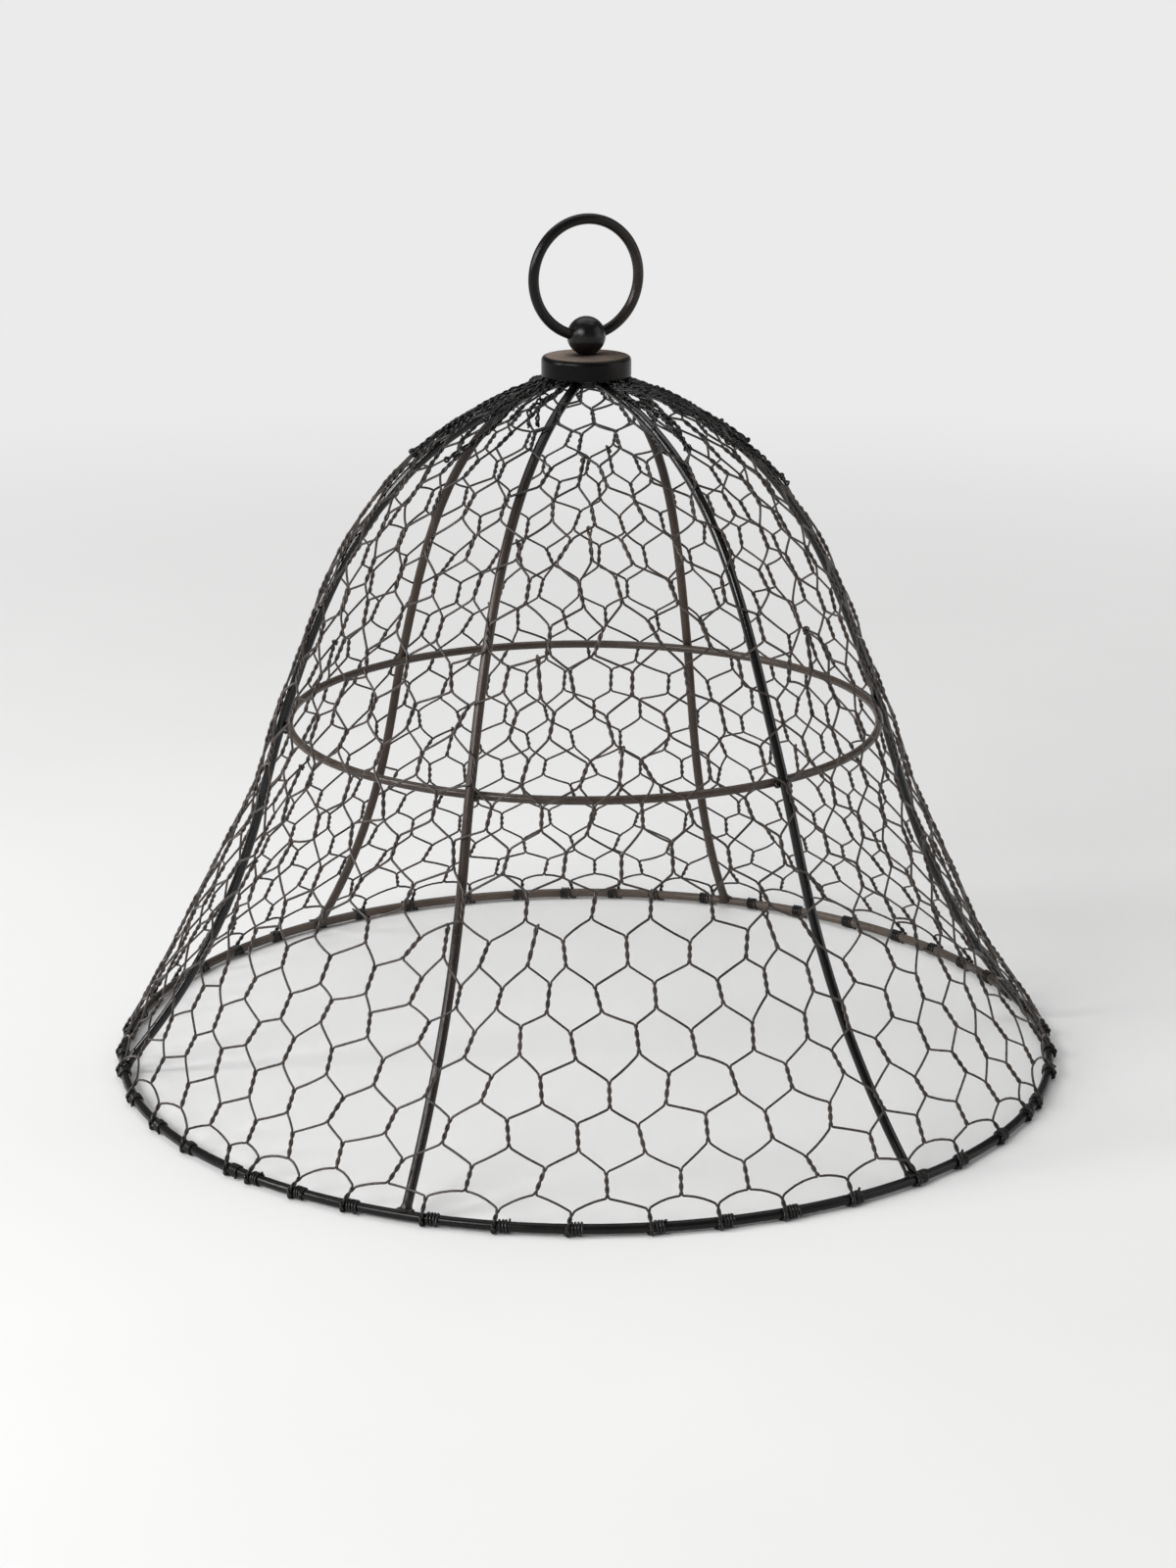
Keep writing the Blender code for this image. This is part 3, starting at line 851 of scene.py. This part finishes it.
class Balance:
    """Equations for the azimuths at which the wires' sideways pulls balance, with the ties held."""

    def __init__(self, twists):
        self.index = {}
        for twist in twists:
            if twist.row > 0:
                self.index[twist, "foot"] = len(self.index)
            self.index[twist, "top"] = len(self.index)
        self.matrix = np.zeros((len(self.index), len(self.index)))
        self.vector = np.zeros(len(self.index))

    def pull(self, a, b, weight):
        """Draws two ends of twists together."""
        for here, there in ((a, b), (b, a)):
            if here not in self.index:
                continue
            i = self.index[here]
            turns = tau * round((here[0].azimuth - there[0].azimuth) / tau)
            self.matrix[i, i] += weight
            if there in self.index:
                self.matrix[i, self.index[there]] -= weight
                self.vector[i] += weight * turns
            else:
                self.vector[i] += weight * (there[0].azimuth + turns)

    def hold(self, end, azimuth, weight):
        """Draws an end of a twist to an azimuth."""
        i = self.index[end]
        self.matrix[i, i] += weight
        self.vector[i] += weight * azimuth


def open_neighbour(row, i, step):
    """The nearest twist of a row, to one side, that doesn't end in a hook."""
    beside = (row[(i + step * k) % len(row)] for k in range(1, len(row)))
    return next(twist for twist in beside if not twist.capped)


def relax_azimuths(rows):
    twists = [twist for row in rows for twist in row]
    balance = Balance(twists)
    for twist in twists:
        balance.pull((twist, "foot"), (twist, "top"), TWIST_HOLD)
        if twist.row > 0:
            balance.pull((twist, "foot"), (twist.left, "top"), LEG_HOLD)
            balance.pull((twist, "foot"), (twist.right, "top"), LEG_HOLD)
    for twist in rows[-1]:
        goal = twist.azimuth + SIDE_CROWDING / 2 * sin(2 * twist.azimuth)
        balance.hold((twist, "top"), goal, TOP_HOLD)
    for row in rows:
        for i, twist in enumerate(row):
            if twist.capped:
                twist.hook_leg = (open_neighbour(row, i, -1), open_neighbour(row, i, 1))
                for beside in twist.hook_leg:
                    balance.pull((twist, "top"), (beside, "top"), HOOK_HOLD)
    solved = np.linalg.solve(balance.matrix, balance.vector)
    for twist in twists:
        foot = solved[balance.index[twist, "foot"]] if twist.row > 0 else twist.azimuth
        twist.foot = [foot, 0.0]
        twist.top = [solved[balance.index[twist, "top"]], 0.0]


def set_heights(rows, bell, rng):
    """Levels of the rows, with a slow wave round the bell and small errors of the hand."""
    top_length = bell.length_at_radius(NET_TOP_RADIUS)
    modes = [(m, rng.uniform(0, tau), rng.uniform(0.6, 1.0)) for m in (2, 3, 5, 7)]

    def wave(azimuth, length):
        rise = min(length / 0.09, 1.0) * min(max((top_length - length) / 0.05, 0.0), 1.0)
        return WAVE_HEIGHT * rise * sum(size * sin(m * azimuth + start) for m, start, size in modes)

    for stem in rows[0]:
        stem.top[1] = STEM_TOP + rng.uniform(-0.0016, 0.0012)
        stem.top[0] += rng.uniform(-STEM_LEAN_ERROR, STEM_LEAN_ERROR) / BASE_RADIUS
    for level, row in enumerate(rows[1:]):
        base = FIRST_ROW + ROW_PITCH * level
        radius = bell.radius(base)
        calm = min(radius / 0.05, 1.0)
        for twist in row:
            lift = wave(twist.foot[0], base) + rng.gauss(0.0, ROW_ERROR)
            stretch = rng.gauss(0.0, LENGTH_ERROR)
            shift = rng.gauss(0.0, SHIFT_ERROR) * calm
            lean = rng.gauss(0.0, LEAN_ERROR) * calm
            twist.foot[0] += (shift - lean) / radius
            twist.top[0] += (shift + lean) / radius
            twist.foot[1] = min(base + lift, top_length)
            twist.top[1] = min(base + lift + TWIST_LENGTH + stretch, top_length)
    for twist in (twist for row in rows for twist in row if twist.capped):
        seat_hook(twist, rng)


def seat_hook(twist, rng):
    """Moves a capped twist's top to the middle of the leg that it hooks over."""
    upper = twist.hook_leg[0].up_right
    far = wrap_near(upper.foot[0], twist.foot[0])
    choices = []
    for lower in twist.hook_leg:
        near = wrap_near(lower.top[0], twist.foot[0])
        share = min(max((twist.foot[0] - near) / (far - near), 0.3), 0.72)
        lean = abs(near + (far - near) * share - twist.foot[0])
        choices.append((lean, len(choices), share, near, lower))
    _, _, share, near, lower = min(choices)
    share += rng.uniform(-0.05, 0.05)
    twist.hook_ends = ((near, lower.top[1]), (far, upper.foot[1]))
    twist.top[0] = near + (far - near) * share
    twist.top[1] = lower.top[1] + (upper.foot[1] - lower.top[1]) * share


def net_sink(spot):
    """How far out of its round surface the netting lies, which is less than 0 where it sinks."""
    azimuth, length = spot
    if not 0 < length < SAG_END:
        return 0.0
    middle = sin(pi * ((azimuth - FIRST_RIB_AZIMUTH) / (tau / RIB_COUNT) % 1.0))
    side = max(sin(azimuth), 0.0) ** 2
    lean = swell(length, SKIRT_LEAN)
    drawn = side * swell(length, RIGHT_DRAW)
    drawn += min(2.0 * middle, 1.0) * (side * swell(length, DOME_DRAW) + swell(length, HOOP_DRAW))
    sag = -FLAT_SAG * middle ** 2 - lean * sin(azimuth) - drawn
    return sin(length / SAG_END * pi) ** 0.5 * sag


def twist_frame(bell, twist):
    """Foot, top, and the directions to the right and outwards of a twist's axis."""
    foot = bell.place(*twist.foot, net_sink(twist.foot))
    top = bell.place(*twist.top, net_sink(twist.top))
    out = bell.normal((twist.foot[0] + twist.top[0]) / 2, (twist.foot[1] + twist.top[1]) / 2)
    along = (top - foot).normalized()
    right = along.cross(out).normalized()
    return foot, top, right, right.cross(along).normalized()


def helix_points(bell, twist, side):
    """Points of one wire of a twist, from its foot. Side -1 is the left wire, 1 the right."""
    foot, top, right, out = twist_frame(bell, twist)
    if twist.capped:
        top = top + (foot - top).normalized() * WIRE * 1.4
    steps = int(round(HELIX_STEPS * twist.turns))
    start = 0.0 if side > 0 else pi
    for i in range(steps + 1):
        t = i / steps
        angle = start + tau * twist.turns * t
        aside = right * HELIX_RADIUS * cos(angle)
        yield foot.lerp(top, t) + aside + out * HELIX_RADIUS * sin(angle)


def leg_points(bell, start, end, bow):
    """Points between two spots on the bell, bowed sideways."""
    azimuth = wrap_near(end[0], start[0])
    for t in LEG_POINTS:
        arch = bow * 4 * t * (1 - t)
        spot = (start[0] + (azimuth - start[0]) * t, start[1] + (end[1] - start[1]) * t + arch)
        yield bell.place(*spot, net_sink(spot))


def hook_points(bell, twist, side, rng):
    """The end of a wire: the right one arches over the leg and down behind it, and the left
    one stops under the leg."""
    (a0, l0), (a1, l1) = twist.hook_ends
    centre = bell.place(*twist.top, net_sink(twist.top))
    along = (bell.place(a1, l1) - bell.place(a0, l0)).normalized()
    out = bell.normal(*twist.top)
    up = out.cross(along).normalized()
    if up.z < 0:
        up = -up
    foot, top, right, _ = twist_frame(bell, twist)
    across = (along if along.dot(right) > 0 else -along) * HOOK_HALF
    down = (foot - top).normalized()
    if side < 0:
        return [centre + down * WIRE * drop - across for drop in (1.2, 0.7)]
    reach = WIRE * rng.uniform(1.02, 1.15)
    points = []
    steps = 10
    for i in range(steps + 1):
        a = radians(-70 + 310 * i / steps)
        slide = across * cos(pi * i / steps)
        points.append(centre + slide + (out * cos(a) + up * sin(a)) * reach)
    tail = rng.uniform(0.0008, 0.0018)
    for _ in range(2):
        points.append(points[-1] + down * tail / 2)
    return points


def ring_spot(azimuth, angle, away, slide):
    """A spot beside the base ring: its angle above straight out, its distance from the middle
    of the ring's rod, and how far it lies to the right of the azimuth."""
    out = outwards(azimuth)
    turn = slide / BASE_RADIUS
    here = out * BASE_RADIUS + UP * RING_Z + sideways(azimuth) * slide - out * (slide * turn / 2)
    return here + (out * cos(angle) + UP * sin(angle)) * away


def wrap_points(azimuth, pair, rng):
    """Three or four tight turns round the base ring, with a cut end that stands off a little."""
    hug = BASE_ROD / 2 + WIRE * 0.42
    turns = rng.uniform(3.3, 4.1)
    pitch = rng.uniform(0.00108, 0.00135)
    lead = rng.uniform(0.0012, 0.002)
    count = int(turns * TIE_TURN_POINTS)
    points = []
    for i in range(1, count + 1):
        t = i / count * turns
        slide = lead * min(t / 0.6, 1.0) + pitch * max(t - 0.4, 0.0) + rng.uniform(-0.00008, 0.00008)
        away = hug + rng.uniform(0.0, 0.00012) + (pair - hug) * max(1 - t / 0.3, 0.0)
        points.append(ring_spot(azimuth, TIE_LOW_ANGLE - tau * t, away, slide))
    tail = (points[-1] - points[-2]).normalized()
    right = sideways(azimuth)
    lift = points[-1] - (outwards(azimuth) * BASE_RADIUS + UP * RING_Z)
    lift = (lift - right * lift.dot(right)).normalized()
    points.append(points[-1] + tail * 0.0009 + lift * 0.0003)
    return points


def tie_points(azimuth, side, rng):
    """One wire of a stem where it passes down over the base ring, listed from its free end:
    the right wire goes on to wrap the ring, and the left one stops under it in a small curl."""
    top_angle = pi / 2 - RIB_BASE_ANGLE
    pair = BASE_ROD / 2 + WIRE * 0.95
    points = []
    steps = 7
    for i in range(1, steps + 1):
        t = i / steps
        swing = (0.0 if side > 0 else pi) - tau * 0.75 * t
        angle = top_angle + (TIE_LOW_ANGLE - top_angle) * t
        away = pair + HELIX_RADIUS * sin(swing)
        points.append(ring_spot(azimuth, angle, away, HELIX_RADIUS * cos(swing)))
    if side > 0:
        points.extend(wrap_points(azimuth, pair, rng))
    else:
        points.extend(ring_spot(azimuth, TIE_LOW_ANGLE - 0.33 * i, pair - 0.00012 * i,
                                -HELIX_RADIUS - 0.00022 * i) for i in range(1, 5))
    for point in points:
        point.z = max(point.z, WIRE / 2)
    return points[::-1]


def follow_wire(bell, stem, side, rng):
    """One wire, from its tie on the base ring up to a hook or to the cap."""
    points = tie_points(stem.azimuth, side, rng)
    twist = stem
    while True:
        points.extend(helix_points(bell, twist, side))
        if round(2 * twist.turns) % 2:
            side = -side
        if twist.capped:
            points.extend(hook_points(bell, twist, side, rng))
            return points
        upper = twist.up_left if side < 0 else twist.up_right
        if upper is None:
            return points
        bow = rng.gauss(0.0, BOW_ERROR)
        if twist.row == 0:
            bow += STEM_BOW
        points.extend(leg_points(bell, twist.top, upper.foot, bow))
        twist = upper
        side = -side


class Strand:
    """Two wires twisted together, lying along the bell from a curled lower end to the cap."""

    def __init__(self, bell, azimuth, start, end, lift, rng):
        self.bell = bell
        self.azimuth = azimuth
        self.start = start
        self.end = end
        self.lift = lift
        self.rng = rng
        self.turns = (end - start) / rng.uniform(*STRAND_PITCH)
        self.drift = [rng.uniform(-STRAND_DRIFT, STRAND_DRIFT) for _ in range(4)][:3]
        self.phase = rng.uniform(0, tau)
        self.waves = rng.uniform(*STRAND_WAVES)

    def middle(self, t):
        """Azimuth, length up the bell, and lift of the pair, at a share of its way up."""
        length = self.start + (self.end - self.start) * t
        radius = max(self.bell.radius(length), 0.012)
        foot, belly, wave = self.drift
        sway = foot * (1 - t) + belly * sin(pi * t) + wave * sin(tau * t)
        clear = min(max((radius - CAP_CLEAR) / CAP_FADE, 0.0), 1.0)
        rise = self.lift * min(t / 0.25, 1.0) + 0.0006 * sin(9 * t + self.phase)
        return self.azimuth + sway * min(radius / 0.03, 1.0) / radius, length, clear * rise

    def point(self, t, side):
        azimuth, length, rise = self.middle(t)
        out = self.bell.normal(azimuth, length)
        wave = tau * self.waves * t + self.phase
        angle = self.phase + side + tau * self.turns * t + 0.8 * sin(wave)
        loose = 1.0 + 0.9 * max(sin(tau * self.waves * t + 2 * self.phase), 0.0) ** 2
        aside = sideways(azimuth) * cos(angle) + out * sin(angle)
        return self.bell.place(azimuth, length, rise) + aside * HELIX_RADIUS * loose

    def curl(self, points):
        """A small loop at the free end of a wire."""
        size = self.rng.uniform(0.0007, 0.001)
        centre = points[0] + (points[1] - points[0]).normalized() * 0.0002
        along = (points[0] - points[4]).normalized()
        out = self.bell.normal(self.azimuth, self.start)
        return [centre + along * size * sin(a) + out * size * (1 - cos(a)) for a in CURL_ANGLES]

    def wires(self):
        steps = int(self.turns * HELIX_STEPS)
        yield [self.point(i / steps, 0.0) for i in range(steps + 1)]
        points = [self.point(i / steps, pi) for i in range(steps + 1)]
        yield self.curl(points) + points


def gathered_strands(bell, rng):
    """The wires of all the gathers, each with its gather's azimuth."""
    end = bell.length_at_radius(NET_TOP_RADIUS)
    for place, count, reach, lift_off in GATHERS:
        azimuth = radians(place)
        for i in range(count):
            start = reach + (end - reach) * rng.uniform(0.0, 0.45) * (i > 0)
            radius = bell.radius((start + end) / 2)
            shift = (i - (count - 1) / 2) * STRAND_SPACING / radius + rng.uniform(-0.0009, 0.0009) / radius
            lift = lift_off + 0.0007 * (i % 3) + rng.uniform(0.0, 0.0004)
            for points in Strand(bell, azimuth + shift, start, end, lift, rng).wires():
                yield azimuth, points


def eased(points):
    """The same points with their corners eased."""
    path = np.array([tuple(p) for p in points])
    soft = path.copy()
    soft[1:-1] = path[1:-1] * 0.7 + (path[:-2] + path[2:]) * 0.15
    return soft


def make_panel(name, wires, materials, node):
    """Round wires as one piece, each with the material that it names by number."""
    parts = [sweep(path, WIRE / 2, WIRE_SIDES) for _, path in wires]
    item = add_piece(name, join_parts(parts), materials[0], node)
    item.data.materials.append(materials[1])
    kinds = [kind for (kind, _), (_, faces) in zip(wires, parts) for _ in faces]
    item.data.polygons.foreach_set("material_index", kinds)


def panel_of(azimuth):
    """Which of the three panels holds an azimuth."""
    turned = (degrees(azimuth) - FIRST_SEAM) % 360.0
    return int(turned // PANEL_WIDTH)


def make_netting(*materials):
    rng = random.Random(21)
    bell = Bell(stretched(OUTLINE), NET_OFFSET)
    rows = lay_out_net()
    relax_azimuths(rows)
    set_heights(rows, bell, rng)
    panels = [[], [], []]
    for stem in rows[0]:
        for side in (-1, 1):
            path = eased(follow_wire(bell, stem, side, rng))
            panels[panel_of(stem.azimuth)].append((0, path))
    for azimuth, points in gathered_strands(bell, rng):
        panels[panel_of(azimuth)].append((1, eased(points)))
    for i, (word, wires) in enumerate(zip(("front", "right", "left"), panels)):
        make_panel(f"netting_{word}", wires, materials, f"netting_panel_{i + 1}")


# Stage, lights and camera


def floor_paper():
    """Pale paper that fades, far out, to the even white of a studio sweep."""
    shader = Shader("floor_paper")
    soft = shader.noise(3.0, 3.0)
    paper = shader.ramp(soft, ((0.35, (0.8, 0.797, 0.793)), (0.65, (0.825, 0.822, 0.818))))
    shader.link(paper, shader.main.inputs["Base Color"])
    shader.main.inputs["Roughness"].default_value = 0.9
    shader.main.inputs["Specular IOR Level"].default_value = 0.1
    place = shader.node("TexCoord")
    away = shader.node("VectorMath", operation="LENGTH")
    shader.link(place.outputs["Object"], away.inputs[0])
    far = shader.span(away.outputs["Value"], 0.0, 1.0, 0.4, 1.7)
    far.node.interpolation_type = "SMOOTHSTEP"
    path = shader.node("LightPath")
    seen = shader.combine("ADD", path.outputs["Is Camera Ray"], path.outputs["Is Glossy Ray"])
    seen = shader.combine("ADD", seen, path.outputs["Is Transmission Ray"])
    glow = shader.node("Emission", Color=(0.83, 0.83, 0.83, 1.0), Strength=1.0)
    blend = shader.node("MixShader")
    shader.link(shader.combine("MULTIPLY", far, seen), blend.inputs[0])
    shader.link(shader.main.outputs[0], blend.inputs[1])
    shader.link(glow.outputs[0], blend.inputs[2])
    shader.link(blend.outputs[0], shader.tree.nodes["Material Output"].inputs["Surface"])
    return shader.material


def make_floor():
    corners = ((-1, -1), (1, -1), (1, 1), (-1, 1))
    verts = [(x * FLOOR_REACH, y * FLOOR_REACH, 0.0) for x, y in corners]
    floor = mesh_object("floor", verts, [(0, 1, 2, 3)], floor_paper())
    floor.location.z = FLOOR_Z


def make_lamps():
    for name, (place, size, power) in LAMPS.items():
        data = bpy.data.lights.new(name, "AREA")
        data.shape = "RECTANGLE"
        data.size, data.size_y = size
        data.energy = power
        lamp = new_object(name, data)
        lamp.location = place
        direction = Vector(LIT_MIDDLE) - Vector(place)
        lamp.rotation_euler = direction.to_track_quat("-Z", "Y").to_euler()


def make_world():
    """A grey sky that is lighter towards the horizon."""
    world = bpy.data.worlds.new("studio")
    world.use_nodes = True
    tree = world.node_tree
    back = tree.nodes["Background"]
    place = tree.nodes.new("ShaderNodeTexCoord")
    split = tree.nodes.new("ShaderNodeSeparateXYZ")
    fade = tree.nodes.new("ShaderNodeValToRGB")
    stops = fade.color_ramp.elements
    stops.new(0.5)
    for stop, (level, grey) in zip(stops, SKY_GREYS):
        stop.position = level
        stop.color = (grey, grey, grey, 1.0)
    tree.links.new(place.outputs["Generated"], split.inputs["Vector"])
    tree.links.new(split.outputs["Z"], fade.inputs["Fac"])
    tree.links.new(fade.outputs["Color"], back.inputs["Color"])
    back.inputs["Strength"].default_value = 1.0
    bpy.context.scene.world = world


def make_camera():
    """The camera of the photograph, as worked out from its ellipses."""
    data = bpy.data.cameras.new("camera")
    data.lens = 73.96
    data.sensor_width = 36.0
    data.sensor_fit = "AUTO"
    data.clip_end = 60.0
    camera = new_object("camera", data)
    camera.location = (0.0007, -1.316, 0.5066 + RING_Z)
    camera.rotation_euler = (radians(90.0 - 16.55), 0.0, 0.0)
    bpy.context.scene.camera = camera


def main():
    rods = {
        "plain": painted_rod("painted_rod", (0.0085, 0.0073, 0.0067), (0.04, 0.0295, 0.0235),
                             (0.2, 0.33), 0.3),
        "dark": painted_rod("painted_rod_dark", (0.0014, 0.0012, 0.0011), (0.0018, 0.0015, 0.0014),
                            (0.08, 0.15), 0.46, 0.1),
        "brown": painted_rod("painted_rod_brown", (0.036, 0.0265, 0.0215), (0.043, 0.0315, 0.025),
                             (0.26, 0.4), 0.18),
    }
    paints = {name: patchy_paint(name, *values) for name, values in PAINTS.items()}
    make_base_ring(paints["ring_paint"])
    make_hoop(rods["plain"])
    for n, paint in enumerate(RIB_PAINTS):
        make_rib(n, rods[paint])
    make_cap(paints["cap_side_paint"], paints["cap_top_paint"])
    make_ball(paints["ball_paint"])
    make_handle(paints["handle_paint"])
    make_boss(rods["plain"])
    make_washer(paints["painted_fixings"])
    make_screw(paints["painted_fixings"])
    make_netting(netting_wire(), paints["gathered_wire"])
    make_floor()
    make_lamps()
    make_world()
    make_camera()
    bpy.context.scene.view_settings.view_transform = "Standard"


main()
